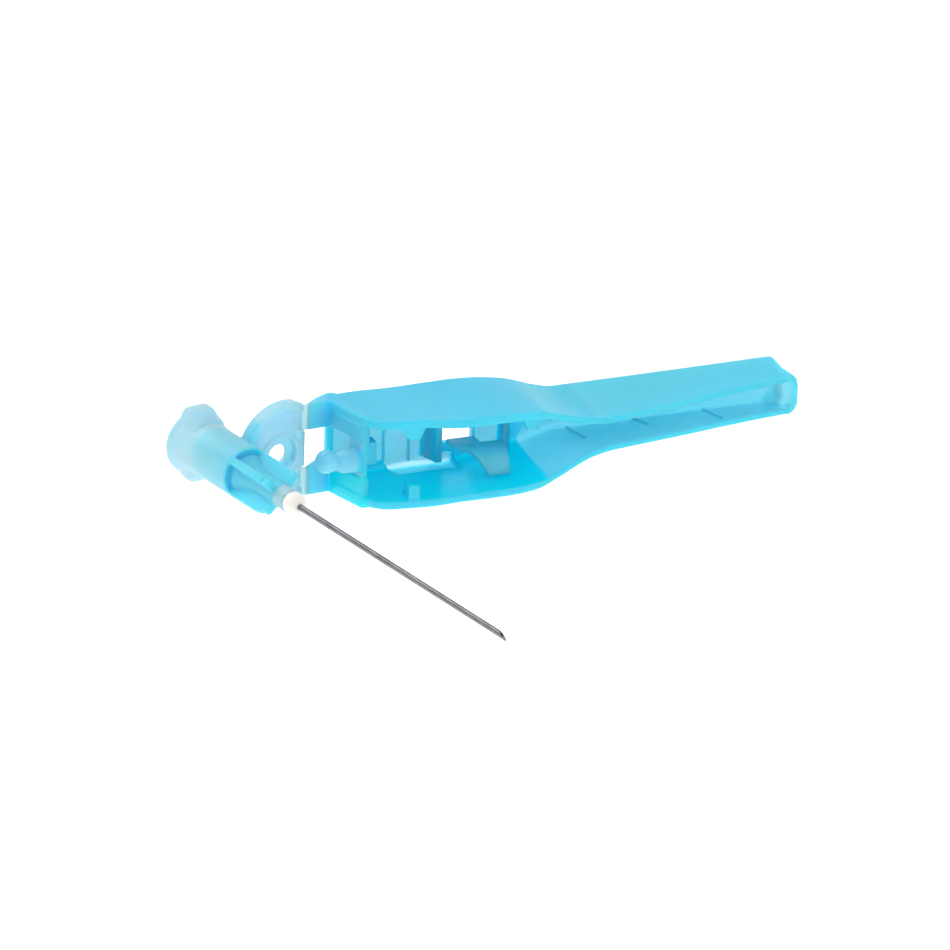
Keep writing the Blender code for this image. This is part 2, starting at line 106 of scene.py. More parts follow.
# The latch plate, across from the hub's axis
PLATE_CENTRE = 6.5
PLATE_RADIUS = 5.28
PLATE_THICKNESS = 1.58
PLATE_EDGE = HUB_TO_HINGE - 0.25
RECESS_RADIUS = 4.5
RECESS_DEPTH = 0.18
SOCKET_CENTRE = (5.65, -0.1)
SOCKET_RADIUS = 1.9
SOCKET_DEPTH = 0.95
SOCKET_HOLE_CENTRE = (5.85, -0.45)
SOCKET_HOLE_RADIUS = 1.05
PLATE_NOTCH_RADIUS = 2.4
PLATE_NOTCH_EDGE = 0.9

# The film hinges: between which heights each one lies, and its shape across the hinge line
FILM_HEIGHTS = {"upper": (2.05, 4.8), "lower": (-5.1, -2.05)}
FILM_HALF_WIDTH = 0.45
FILM_BEND_HALF_WIDTH = 0.3
FILM_FACE = -0.01
FILM_THICKNESS = 0.18

# The sheath: (along, value) points that smooth curves pass through
SHEATH_START = 2.9
SHEATH_END = 52.55
BACK_FACE = -2.3
BACK_EDGE_RADIUS = 0.7
FRONT_EDGE = [(2.7, -0.2), (4.3, 4.8), (5.2, 6.0), (6.5, 6.8), (9.5, 7.3), (12.5, 7.8), (17.0, 8.0),
              (20.6, 7.9), (24.6, 7.2), (30.2, 6.15), (39.5, 4.35), (45.6, 3.1), (52.9, 1.9)]
FRONT_HALF_HEIGHT = [(2.7, 4.6), (6.0, 4.75), (9.5, 4.75), (14.5, 4.4), (18.9, 4.4), (22.3, 4.12),
                     (24.6, 3.35), (28.3, 2.2), (31.0, 1.8), (38.0, 1.8), (52.9, 1.9)]
LOWER_HALF_HEIGHT = [(2.7, 4.6), (6.0, 4.8), (9.5, 4.8), (14.5, 4.5), (18.9, 4.5), (22.3, 4.3),
                     (24.6, 3.6), (27.0, 2.65), (28.7, 2.15), (31.0, 1.93), (40.8, 2.08), (52.9, 2.25)]
BACK_HALF_HEIGHT = [(2.7, 4.75), (6.2, 4.82), (9.4, 4.72), (15.9, 4.8), (19.1, 4.62), (20.7, 4.38),
                    (22.3, 4.03), (25.5, 2.95), (27.2, 2.6), (32.0, 2.6), (52.9, 2.72)]
WEB = [(2.7, 0.9), (22.4, 0.9), (22.6, 0.65), (52.9, 0.65)]
WALL_BACK = [(2.7, 0.85), (23.4, 0.85), (23.6, 0.55), (52.9, 0.55)]
WALL_FRONT = [(2.7, 0.85), (22.8, 0.85), (23.0, 0.65), (52.9, 0.65)]

# The sheath's tip in plan, its rounded corners (along, up, radius, reach out), and the wall that closes it
TIP_OUTLINE = [(49.9, -2.3), (50.6, -2.15), (51.1, -1.7), (51.35, -1.0), (51.4, 0.0), (51.55, 0.5),
               (51.95, 0.85), (52.3, 1.2), (52.5, 1.6), (52.5, 2.2)]
TIP_CORNERS = [(51.4, 2.72, 0.7, (-3.5, 0.6)), (51.4, -2.72, 0.7, (-3.5, 0.6)),
               (52.5, 1.93, 0.85, (0.5, 3.0)), (52.5, -2.25, 1.1, (0.5, 3.0))]
TIP_WALL_INSETS = [(-2.2, 0.85), (-1.9, 0.45), (-1.2, 0.0), (1.0, 0.0), (1.6, 0.45), (1.93, 0.8)]

# Where the sheath is open or thin: ranges along, out and up
THIN_WEB = BACK_FACE + 0.35
WINDOW = ((15.3, 18.6), (-3.5, -1.3), (-2.05, 1.8))
REAR_PANEL = ((3.6, 14.2), (THIN_WEB, -1.0), (-3.5, 3.5))
FRONT_PANEL = ((18.9, 21.8), (THIN_WEB, -1.0), (-3.0, 3.0))
FLOOR_PANEL = [(9.2, -1.95), (16.6, -1.95), (16.6, 0.55), (10.0, 0.55)]
FLOOR_PANEL_HEIGHTS = (-4.37, -3.0)

# The yoke: the sheath's slanted end frame, and the two arms that carry the film hinges
YOKE_BAND = [(0.25, 0.0), (2.7, -0.2), (4.3, 4.8), (5.1, 4.9), (3.8, 0.0), (3.9, -2.2), (3.0, -2.25),
             (1.5, -1.4), (0.25, -0.36)]
UPPER_ARM = (2.0, 4.8)
LOWER_ARM = (-5.1, -2.0)
POST = [(3.78, 2.35), (4.3, 4.75), (4.9, 4.8), (4.4, 2.35)]
POST_HEIGHTS = (-2.4, 4.3)

# The latch peg on the post
PEG_TIP = Vector((0.97, 3.4))
PEG_LOBE = Vector((2.8, 3.78))
PEG_HEIGHT = -0.15
PEG_RADIUS = 1.12
PEG_TALLNESS = 1.12

# The cannula's rest: a level root, and a tongue that curves down from it
REST_LEVEL_SHARE = 0.3
REST_ROOT = 0.8
REST_BEND = 2.7
REST_TOP = -0.6
REST_REACH = 2.4
REST_DROP = 2.7
REST_THICKNESS = 0.5
REST_STATIONS = [(14.9, 0.0, 0.12), (15.6, 0.0, 0.3), (16.4, 0.0, 0.5), (17.2, 0.0, 0.75), (17.9, 0.0, 1.0),
                 (17.91, 0.27, 1.0), (20.2, 0.27, 1.0)]

# How far the plastic's thickness is measured, and where the sheath's tones change
THICKNESS_LIMIT = 3.0
THIN_PART = 23.4
INSIDE_HEIGHT = 1.4
PANEL_THICKNESS = 0.62

# Tones of the plastic, from 0 (palest) to 1 (most saturated), and its colours from tone 0 to tone 1; the
# sheath's back_edge, top, thin_top, floor, walls and yoke tones are painted light and shade
TONES = {"peg": 0.2, "back_edge": 0.1, "top": 0.5, "thin_top": 0.4, "rim": 0.6, "tip_rim": 0.45,
         "thin_wall": 0.18, "thin_web": 0.15, "floor_panel": 0.3, "web_panel": 0.02, "floor": 1.0,
         "yoke": 0.35, "walls": 0.7, "rest": 0.3, "plate": 0.25, "neck": 0.3, "film": 0.2}
SHEATH_COLOURS = [(0.72, 0.88, 0.95, 1), (0.17, 0.70, 0.94, 1), (0.065, 0.64, 0.93, 1),
                  (0.04, 0.71, 0.98, 1), (0.0, 0.81, 1.0, 1)]
HUB_COLOURS = [(0.56, 0.76, 0.86, 1), (0.44, 0.72, 0.86, 1), (0.19, 0.70, 0.90, 1), (0.07, 0.69, 0.94, 1)]
WHITE = (1, 1, 1, 1)

# The stage: lengths in metres, the lens in millimetres
FLOOR_HALF_SIZE = 3.0
FLOOR_GLOW = 1.1
WORLD_STRENGTH = 0.85
LIGHT_SIZE = 0.5
CAMERA_AZIMUTH = radians(-22)
CAMERA_ELEVATION = radians(23.2)
CAMERA_ROLL = radians(1.5)
CAMERA_AIM = HINGE + Vector((13.8, -11.54, 0)) * MM
CAMERA_DISTANCE = 2.64
CAMERA_LENS = 1000.0


def smooth_value(points, place):
    """Monotone cubic through the points, so that it never overshoots them."""
    if place <= points[0][0]:
        return points[0][1]
    if place >= points[-1][0]:
        return points[-1][1]
    slopes = [(b[1] - a[1]) / (b[0] - a[0]) for a, b in zip(points, points[1:])]
    tangents = [slopes[0]]
    for before, after in zip(slopes, slopes[1:]):
        tangents.append(0.0 if before * after <= 0 else 2 * before * after / (before + after))
    tangents.append(slopes[-1])
    index = max(i for i in range(len(slopes)) if points[i][0] <= place)
    width = points[index + 1][0] - points[index][0]
    t = (place - points[index][0]) / width
    return ((1 + 2 * t) * (1 - t) ** 2 * points[index][1] + t * (1 - t) ** 2 * width * tangents[index]
            + t * t * (3 - 2 * t) * points[index + 1][1] + t * t * (t - 1) * width * tangents[index + 1])


# ---------------------------------------------------------------- solids, in millimetres

def loft(rings, endless=False):
    """A closed solid through rings of points: its ends are capped or, if it is endless, joined."""
    builder = bmesh.new()
    rows = [[builder.verts.new(point) for point in ring] for ring in rings]
    count = len(rings[0])
    next_rows = rows[1:] + rows[:1] if endless else rows[1:]
    for row, following in zip(rows, next_rows):
        for i in range(count):
            builder.faces.new((row[i], row[(i + 1) % count], following[(i + 1) % count], following[i]))
    if not endless:
        builder.faces.new(rows[0])
        builder.faces.new(rows[-1][::-1])
    bmesh.ops.recalc_face_normals(builder, faces=builder.faces)
    return builder


def prism(outline, low, high):
    """An (x, y) outline raised from one height to another."""
    return loft([[(x, y, z) for x, y in outline] for z in (low, high)])


def block(x, y, z):
    """A box between three pairs of limits."""
    return prism([(x[0], y[0]), (x[1], y[0]), (x[1], y[1]), (x[0], y[1])], z[0], z[1])


def circle(centre, radius, steps=64):
    """Points all the way round a centre."""
    turns = [2 * pi * i / steps for i in range(steps)]
    return [(centre[0] + radius * cos(t), centre[1] + radius * sin(t)) for t in turns]


def turned(profile, steps=96):
    """(radius, height) points from one end of the axis to the other, turned into a solid."""
    return loft([[(x, y, height) for x, y in circle((0, 0), radius, steps)] for radius, height in profile])


def fill(mesh, parts):
    """Put closed solids into a mesh, in place of what it held, and free them."""
    joined = bmesh.new()
    for part in parts:
        piece = bpy.data.meshes.new("piece")
        part.to_mesh(piece)
        part.free()
        joined.from_mesh(piece)
        bpy.data.meshes.remove(piece)
    joined.to_mesh(mesh)
    joined.free()


def solid_object(name, parts):
    """Join closed solids into one object."""
    item = bpy.data.objects.new(name, bpy.data.meshes.new(name))
    fill(item.data, parts)
    bpy.context.scene.collection.objects.link(item)
    return item


def part_of(item):
    """An object's solid, as a part for another object."""
    part = bmesh.new()
    part.from_mesh(item.data)
    return part


def taken_apart(item):
    """Remove an object and give back its solid."""
    part = part_of(item)
    bpy.data.objects.remove(item, do_unlink=True)
    return part


def apply_modifiers(item):
    """Put what an object's modifiers make in place of its mesh."""
    bpy.context.view_layer.update()
    evaluated = item.evaluated_get(bpy.context.evaluated_depsgraph_get())
    mesh = bpy.data.meshes.new_from_object(evaluated)
    item.modifiers.clear()
    old = item.data
    item.data = mesh
    bpy.data.meshes.remove(old)


def cut(item, parts):
    """Cut solids out of an object, one by one."""
    for part in parts:
        tool = solid_object("tool", [part])
        modifier = item.modifiers.new("cut", "BOOLEAN")
        modifier.operation = "DIFFERENCE"
        modifier.object = tool
        apply_modifiers(item)
        bpy.data.objects.remove(tool, do_unlink=True)


def skin_over(item, voxel):
    """Merge an object's overlapping solids into one."""
    remesh = item.modifiers.new("skin", "REMESH")
    remesh.mode = "VOXEL"
    remesh.voxel_size = voxel
    apply_modifiers(item)


def note_tone(mesh, tone):
    """Give each vertex the attribute 'tone', 0 for the palest plastic and 1 for the most saturated.

    The tone comes from the vertex's place and normal and from how much plastic lies under it; on the sheath,
    what comes from place and normal is painted light and shade. It is then smoothed over the mesh.
    """
    inset = 0.03
    corners = [vert.co[:] for vert in mesh.vertices]
    tree = BVHTree.FromPolygons(corners, [face.vertices[:] for face in mesh.polygons])
    values = np.empty(len(corners))
    for index, vert in enumerate(mesh.vertices):
        distance = tree.ray_cast(vert.co - vert.normal * inset, -vert.normal, THICKNESS_LIMIT)[3]
        thickness = THICKNESS_LIMIT if distance is None else distance + inset
        values[index] = tone(vert.co, vert.normal, thickness)
    edges = np.empty(len(mesh.edges) * 2, dtype=np.int64)
    mesh.edges.foreach_get("vertices", edges)
    start, end = edges[0::2], edges[1::2]
    count = len(values)
    share = np.maximum(np.bincount(start, minlength=count) + np.bincount(end, minlength=count), 1)
    for _ in range(8):
        total = np.bincount(start, values[end], count) + np.bincount(end, values[start], count)
        values = 0.5 * values + 0.5 * total / share
    attribute = mesh.attributes.new("tone", "FLOAT", "POINT")
    attribute.data.foreach_set("value", values.astype(np.float32))


def sheath_tone(place, normal, thickness):
    """Pale skins and thin part and saturated rims, with painted light and shade: a painted highlight on the
    thin part's back edge, paler top faces where the overhead light falls, a saturated floor painted as lit
    through the upper wall, and sheltered walls and the yoke painted brighter to lift their shade.
    """
    along, out, up = place
    if along < 3.9 and 1.8 < out < 5.2 and abs(up - PEG_HEIGHT) < 1.6:
        return TONES["peg"]
    if along < 2.4:
        # the arms, palest at the film hinges
        return 0.2 + 0.04 * max(along, 0.0)
    # painted highlight: the rounded back edge of the thin part's upper wall gets a pale tone, standing in for
    # the overhead light's reflection
    if along > 26.0 and out < -1.55 and up > INSIDE_HEIGHT:
        return TONES["back_edge"]
    # painted light: faces that look up are paler, as where the overhead light falls on them
    if up > INSIDE_HEIGHT and normal.z > 0.5:
        return TONES["top" if along < 29.0 else "thin_top"]
    if out > smooth_value(FRONT_EDGE, along) - 0.15 and normal.y > 0.6:
        return TONES["rim" if along < 49.0 else "tip_rim"]
    if along > THIN_PART:
        return TONES["thin_web" if out < -1.0 or along > 51.0 else "thin_wall"]
    if thickness < PANEL_THICKNESS:
        return TONES["floor_panel" if normal.z > 0.5 else "web_panel"]
    # painted light: the floor's faces that look up, and the floor near the yoke, get the most saturated tone,
    # standing in for light filtered through the upper wall
    faces_light = normal.z > 0.2 and out > -1.8
    if up < -1.0 and (faces_light or along < 6.0):
        return TONES["floor"]
    # painted light: the yoke's faces are paler, to lift the shade that falls on them
    if along < 4.6 and up > 0.0:
        return TONES["yoke"]
    # painted light: the remaining sheltered walls are brighter and more saturated, to lift their shade
    return TONES["walls"]


def hub_tone(place, normal, thickness):
    """Frosted and pale at the rim, more saturated towards the fins; the plate and the neck are pale."""
    across, up, forward = place
    if across > 3.0:
        return TONES["plate"]
    if forward > 9.0:
        return TONES["neck"]
    return min(max(0.08 + 0.09 * (forward + 6.0), 0.05), 0.8)


def even_tone(name):
    """One tone all over."""
    return lambda place, normal, thickness: TONES[name]


def mould(item, extra, tone, voxel=VOXEL, smoothing=3):
    """Turn overlapping solids into one skin with small radii on every edge."""
    if extra:
        fill(item.data, [part_of(item), *extra])
    remesh = item.modifiers.new("skin", "REMESH")
    remesh.mode = "VOXEL"
    remesh.voxel_size = voxel
    remesh.adaptivity = 0.0
    soften = item.modifiers.new("soften", "SMOOTH")
    soften.factor = 0.5
    soften.iterations = smoothing
    thin = item.modifiers.new("thin", "DECIMATE")
    thin.ratio = FACES_KEPT
    apply_modifiers(item)
    note_tone(item.data, tone)


def place(item, matrix, material, body, slot, replaced, bend=None):
    """Move a finished skin from its own millimetres to the frame and tie it to its body; a piece given a bend
    is only left unparented in the frame.
    """
    item.data.transform(matrix)
    if matrix.determinant() < 0:
        item.data.flip_normals()
    item.data.shade_smooth()
    item.data.materials.clear()
    item.data.materials.append(material)
    if bend:
        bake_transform(item)
    else:
        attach(item, body)
    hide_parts(*replaced)


# ---------------------------------------------------------------- materials

def principled(name, **values):
    """A material with constant values on its shader's sockets, its node tree and its shader."""
    material = bpy.data.materials.new(name)
    material.use_nodes = True
    shader = material.node_tree.nodes["Principled BSDF"]
    for socket, value in values.items():
        shader.inputs[socket.replace("_", " ")].default_value = value
    return material, material.node_tree, shader


def add_noise(tree, scale, detail, stretch=(1, 1, 1)):
    """Noise in the object's own coordinates."""
    coordinates = tree.nodes.new("ShaderNodeTexCoord")
    mapping = tree.nodes.new("ShaderNodeMapping")
    mapping.inputs["Scale"].default_value = stretch
    noise = tree.nodes.new("ShaderNodeTexNoise")
    noise.inputs["Scale"].default_value = scale
    noise.inputs["Detail"].default_value = detail
    tree.links.new(coordinates.outputs["Object"], mapping.inputs["Vector"])
    tree.links.new(mapping.outputs["Vector"], noise.inputs["Vector"])
    return noise


def grey(level):
    """An opaque grey."""
    return (level, level, level, 1)


def ramp(tree, source, low, high, start=0.3, end=0.7):
    """Colours from low to high while the source goes from start to end."""
    node = tree.nodes.new("ShaderNodeValToRGB")
    node.color_ramp.elements[0].position = start
    node.color_ramp.elements[0].color = low
    node.color_ramp.elements[1].position = end
    node.color_ramp.elements[1].color = high
    tree.links.new(source, node.inputs["Fac"])
    return node


def add_bump(tree, shader, source, distance, strength):
    """Fine relief on the shader's normal."""
    bump = tree.nodes.new("ShaderNodeBump")
    bump.inputs["Distance"].default_value = distance
    bump.inputs["Strength"].default_value = strength
    tree.links.new(source, bump.inputs["Height"])
    tree.links.new(bump.outputs["Normal"], shader.inputs["Normal"])


def plastic_material(name, colours_by_tone, roughness, density, clearest):
    """Translucent polypropylene, coloured by the attribute 'tone' (on the sheath partly painted light and
    shade), with faint flow marks and fine grain.
    """
    material, tree, shader = principled(
        name, Roughness=roughness, IOR=1.45, Subsurface_Weight=1.0, Subsurface_Radius=(0.6, 2.0, 3.0),
        Subsurface_Scale=1.0 * MM)
    tone = tree.nodes.new("ShaderNodeAttribute")
    tone.attribute_name = "tone"
    flow_amount = 0.08
    flow = add_noise(tree, 90.0, 3.0, (0.6, 1.0, 1.0))
    mixed = tree.nodes.new("ShaderNodeMath")
    mixed.operation = "MULTIPLY_ADD"
    mixed.inputs[1].default_value = flow_amount
    tree.links.new(flow.outputs["Fac"], mixed.inputs[0])
    tree.links.new(tone.outputs["Fac"], mixed.inputs[2])
    palest = flow_amount / 2
    colours = ramp(tree, mixed.outputs[0], colours_by_tone[0], colours_by_tone[-1], palest, 1.0)
    for index, colour in enumerate(colours_by_tone[1:-1], 1):
        colours.color_ramp.elements.new(palest + index / (len(colours_by_tone) - 1)).color = colour
    tree.links.new(colours.outputs["Color"], shader.inputs["Base Color"])
    clear = tree.nodes.new("ShaderNodeMapRange")
    clear.inputs["From Min"].default_value = 0.0
    clear.inputs["From Max"].default_value = 0.25
    clear.inputs["To Min"].default_value = clearest
    clear.inputs["To Max"].default_value = 0.35
    tree.links.new(tone.outputs["Fac"], clear.inputs["Value"])
    tree.links.new(clear.outputs["Result"], shader.inputs["Transmission Weight"])
    grain = add_noise(tree, 2600.0, 5.0)
    rough = ramp(tree, grain.outputs["Fac"], grey(roughness - 0.05), grey(roughness + 0.06))
    tree.links.new(rough.outputs["Color"], shader.inputs["Roughness"])
    add_bump(tree, shader, grain.outputs["Fac"], 0.004 * MM, 0.5)
    absorption = tree.nodes.new("ShaderNodeVolumeAbsorption")
    absorption.inputs["Color"].default_value = (0.0, 0.985, 1.0, 1)
    absorption.inputs["Density"].default_value = density
    output = next(node for node in tree.nodes if node.type == "OUTPUT_MATERIAL")
    tree.links.new(absorption.outputs["Volume"], output.inputs["Volume"])
    return material


def steel_material():
    """Drawn steel with faint streaks along the tube."""
    material, tree, shader = principled("drawn_steel", Metallic=1.0, Roughness=0.3)
    draw = add_noise(tree, 500.0, 6.0, (8.0, 0.4, 8.0))
    colours = ramp(tree, draw.outputs["Fac"], (0.13, 0.13, 0.14, 1), (0.24, 0.24, 0.25, 1))
    tree.links.new(colours.outputs["Color"], shader.inputs["Base Color"])
    rough = ramp(tree, draw.outputs["Fac"], grey(0.20), grey(0.36))
    tree.links.new(rough.outputs["Color"], shader.inputs["Roughness"])
    add_bump(tree, shader, draw.outputs["Fac"], 0.002 * MM, 0.4)
    return material


def epoxy_material():
    """Cloudy off-white resin."""
    material, tree, shader = principled(
        "epoxy_resin", Roughness=0.38, Subsurface_Weight=0.6, Subsurface_Radius=(1.0, 0.9, 0.8),
        Subsurface_Scale=0.5 * MM)
    cloud = add_noise(tree, 900.0, 4.0)
    colours = ramp(tree, cloud.outputs["Fac"], (0.78, 0.76, 0.71, 1), (0.84, 0.83, 0.80, 1))
    tree.links.new(colours.outputs["Color"], shader.inputs["Base Color"])
    add_bump(tree, shader, cloud.outputs["Fac"], 0.02 * MM, 0.35)
    return material


# ---------------------------------------------------------------- sheath

def arc(centre, radius, start, end, steps):
    """Points round a centre from one angle to another, in degrees."""
    turns = [radians(start + (end - start) * i / steps) for i in range(steps + 1)]
    return [(centre[0] + radius * cos(t), centre[1] + radius * sin(t)) for t in turns]


def shell_ring(along):
    """The channel's section: outer face from the upper front edge round to the lower, then inner face."""
    front = smooth_value(FRONT_EDGE, along)
    back_height = smooth_value(BACK_HALF_HEIGHT, along)
    wall_back = smooth_value(WALL_BACK, along)
    wall_front = smooth_value(WALL_FRONT, along)
    inner_out = BACK_FACE + smooth_value(WEB, along)
    chamfer = 0.12
    fillet = 0.25
    halves = []
    for side, heights in ((1, FRONT_HALF_HEIGHT), (-1, LOWER_HALF_HEIGHT)):
        front_height = smooth_value(heights, along)
        back_centre = (BACK_FACE + BACK_EDGE_RADIUS, back_height - BACK_EDGE_RADIUS)
        outer = [(front, front_height - chamfer), (front - chamfer, front_height)]
        outer += arc(back_centre, BACK_EDGE_RADIUS, 90, 180, 8)
        inner = [(inner_out, back_height - wall_back - fillet), (inner_out + fillet, back_height - wall_back),
                 (front, front_height - wall_front)]
        halves.append([[(along, out, side * up) for out, up in row] for row in (outer, inner)])
    upper, lower = halves
    return upper[0] + lower[0][::-1] + lower[1][::-1] + upper[1]


def corner_tool(along, up, radius, out):
    """What lies outside a rounded corner of the sheath's end, seen from its open side."""
    side = 1 if up > 0 else -1
    margin = 2.0
    outline = arc((along - radius, abs(up) - radius), radius, 0, 90, 10)
    start_height = outline[0][1]
    outline += [(along - radius, abs(up) + margin), (along + margin, abs(up) + margin),
                (along + margin, start_height)]
    return loft([[(x, y, side * z) for x, z in outline] for y in out])


def tip_cuts():
    """What lies beyond the sheath's tip, rounded in plan and at its upper and lower corners."""
    beyond = TIP_OUTLINE + [(54.0, 2.6), (54.0, -3.5), (49.9, -3.5)]
    return [prism(beyond, -4, 4)] + [corner_tool(*corner) for corner in TIP_CORNERS]


def tip_wall():
    """The wall that closes the channel behind the tip's outline."""
    outline = [(along - 0.03, out) for along, out in TIP_OUTLINE[1:]]
    outline += [(along - 0.6, out + 0.1) for along, out in TIP_OUTLINE[:0:-1]]
    return loft([[(along - inset, out, up) for along, out in outline] for up, inset in TIP_WALL_INSETS])


def build_shell():
    """The channel, with its window, its thin panels and its rounded tip."""
    count = 240
    stations = [SHEATH_START + (SHEATH_END - SHEATH_START) * i / count for i in range(count + 1)]
    shell = solid_object("sheath_moulding", [loft([shell_ring(along) for along in stations])])
    cut(shell, [block(*WINDOW), block(*REAR_PANEL), block(*FRONT_PANEL),
                prism(FLOOR_PANEL, *FLOOR_PANEL_HEIGHTS), *tip_cuts()])
    return shell


def yoke_parts():
    """Slanted end frame with its two arms, the post, the block behind it and the step at the floor."""
    post_block = block((4.2, 6.2), (2.6, 4.0), (-0.85, 1.6))
    floor_step = block((5.6, 9.1), (-2.0, -1.2), (-4.3, -3.3))
    return [prism(YOKE_BAND, *UPPER_ARM), prism(YOKE_BAND, *LOWER_ARM), prism(POST, *POST_HEIGHTS),
            post_block, floor_step]


def peg_part():
    """Bulb that snaps into the latch plate's socket, and the lobe that joins it to the post."""
    direction = (PEG_LOBE - PEG_TIP).normalized()
    side = Vector((-direction.y, direction.x))
    turns = [pi * i / 20 for i in range(1, 14)]
    rows = [(PEG_TIP - direction * PEG_RADIUS * cos(t), PEG_RADIUS * sin(t)) for t in turns]
    waist = ((0.50, 0.88), (0.62, 0.9), (0.8, 1.08))
    rows += [(PEG_TIP.lerp(PEG_LOBE, share), size) for share, size in waist]
    rows += [(PEG_LOBE, 1.14), (PEG_LOBE + direction * 0.9, 1.1), (PEG_LOBE + direction * 1.6, 1.0)]
    rings = []
    for centre, size in rows:
        ring = []
        for sideways, upwards in circle((0, 0), 1, 32):
            point = centre + side * size * sideways
            ring.append((point.x, point.y, PEG_HEIGHT + PEG_TALLNESS * size * upwards))
        rings.append(ring)
    return loft(rings)


def wall_inside(along, out, side):
    """Height of the inner face of the sheath's upper (side 1) or lower (side -1) wall."""
    heights = FRONT_HALF_HEIGHT if side > 0 else LOWER_HALF_HEIGHT
    front = smooth_value(FRONT_EDGE, along)
    inner_out = BACK_FACE + smooth_value(WEB, along)
    share = (out - inner_out) / (front - inner_out)
    back_height = smooth_value(BACK_HALF_HEIGHT, along) - smooth_value(WALL_BACK, along)
    front_height = smooth_value(heights, along) - smooth_value(WALL_FRONT, along)
    return side * ((1 - share) * back_height + share * front_height)


def tooth(root_along, tip_along, root_out, tip_out, root_up, tip_up):
    """Wedge from a broad root on a wall to a narrow tip."""
    rings = []
    for along, out, up in ((root_along, root_out, root_up), (tip_along, tip_out, tip_up)):
        rings.append([(along[0], out[0], up), (along[1], out[0], up), (along[1], out[1], up),
                      (along[0], out[1], up)])
    return loft(rings)


def cross_rib(start, end):
    """Low rib on the narrow part's floor between two (along, out) places."""
    root = -0.15
    top = 0.25
    rings = []
    for step in (-0.1, 0.1):
        near, far = [(along + step, out, wall_inside(along + step, out, -1)) for along, out in (start, end)]
        section = ((near, root), (far, root), (far, top), (near, top))
        rings.append([(x, y, z + rise) for (x, y, z), rise in section])
    return loft(rings)


def rib_parts():
    """The web's ribs and ridges, the narrow part's cross ribs, and the teeth at the channel's mouth."""
    root = THIN_WEB - 0.1
    stop_rib = prism([(13.1, root), (13.7, root), (14.7, 0.45), (14.0, 0.45)], -3.25, 3.9)
    rear_rib = prism([(21.5, root), (21.9, root), (22.3, -0.4), (21.9, -0.4)], -3.1, 3.1)
    ridges = [block((9.1, 9.3), (root, -1.55), (-3.2, 0.1)), block((11.8, 12.0), (root, -1.55), (-3.6, -1.2))]
    cross_ribs = [cross_rib((28.7, -1.2), (29.3, 2.65)), cross_rib((35.8, -1.5), (36.6, 1.4)),
                  cross_rib((43.5, -1.2), (44.2, 2.9))]
    teeth = [tooth((7.1, 10.5), (8.7, 9.7), (5.3, 7.1), (6.3, 6.8), 4.3, 2.4),
             tooth((8.5, 9.85), (8.65, 9.7), (5.0, 7.1), (5.7, 6.9), -4.3, -2.4),
             tooth((20.5, 23.0), (21.3, 22.4), (5.9, 7.2), (6.4, 6.9), 3.7, 1.95)]
    return [stop_rib, rear_rib, *ridges, *cross_ribs, *teeth]


def build_sheath(material):
    """The channel with everything moulded onto it, in one skin."""
    shell = build_shell()
    mould(shell, yoke_parts() + [peg_part(), tip_wall()] + rib_parts(), sheath_tone)
    place(shell, SHEATH_PLACE, material, "sheath", "sheath_plastic",
          ("sheath_shell", "latch_peg", "stop_rib", "rear_rib", "cross_rib_1", "cross_rib_2", "cross_rib_3",
           "lock_tooth_upper", "lock_tooth_lower", "keeper_tooth_upper"))


# ---------------------------------------------------------------- cannula rest

def rest_curve(share):
    """The tongue's (out, up) line: level from its root, then a quarter of an ellipse downwards."""
    if share < REST_LEVEL_SHARE:
        return Vector((REST_ROOT + 1.9 * share / REST_LEVEL_SHARE, REST_TOP))
    t = 0.5 * pi * (share - REST_LEVEL_SHARE) / (1 - REST_LEVEL_SHARE)
    return Vector((REST_BEND + REST_REACH * sin(t), REST_TOP - REST_DROP * (1 - cos(t))))


def rest_ring(along, first, last):
    """The tongue's section at one station, between two shares of its line."""
    upper = []
    lower = []
    for i in range(25):
        share = first + (last - first) * i / 24
        here = rest_curve(share)
        step = (rest_curve(min(share + 0.01, 1.0)) - rest_curve(max(share - 0.01, 0.0))).normalized()
        upper.append(here)
        lower.append(here + Vector((step.y, -step.x)) * REST_THICKNESS)
    return [(along, p.x, p.y) for p in upper + lower[::-1]]


def build_rest(material):
    """The springy tongue that the cannula lies on."""
    rest = solid_object("cannula_rest_tongue", [loft([rest_ring(*station) for station in REST_STATIONS])])
    mould(rest, [], even_tone("rest"), voxel=REST_VOXEL, smoothing=2)
    place(rest, SHEATH_PLACE, material, "cannula_rest", "sheath_plastic", ("cannula_rest",))


# ---------------------------------------------------------------- hub

def hub_fin(angle, step_reach):
    """Plate along the nose with a row of small teeth, narrower in front, turned about the hub's axis."""
    outline = [(FIN_ROOT, FIN_START), (FIN_REACH, FIN_START), (FIN_REACH, 6.9), (2.5, 7.0), (FIN_REACH, 7.2),
               (2.48, 7.3), (2.7, 7.5), (2.48, 7.6), (2.65, 7.8), (step_reach, 7.9),
               (step_reach, FIN_END - FIN_CHAMFER), (step_reach - FIN_CHAMFER, FIN_END), (FIN_ROOT, FIN_END)]
    fin = loft([[(x, y, z) for x, z in outline] for y in (-FIN_THICKNESS / 2, FIN_THICKNESS / 2)])
    bmesh.ops.rotate(fin, cent=(0, 0, 0), matrix=Matrix.Rotation(angle, 3, "Z"), verts=fin.verts)
    return fin


def hub_lug(side):
    """Ear on the rim, broad at its root, sloping down to the flare in front."""
    rings = []
    for z, reach in LUG_STATIONS:
        shape = [(-LUG_HALF_WIDTH, 2.4), (-1.55, reach - 0.5), (-1.25, reach - 0.1), (-0.9, reach),
                 (0.9, reach), (1.25, reach - 0.1), (1.55, reach - 0.5), (LUG_HALF_WIDTH, 2.4)]
        rings.append([(x, side * y, z) for x, y in shape])
    return loft(rings)


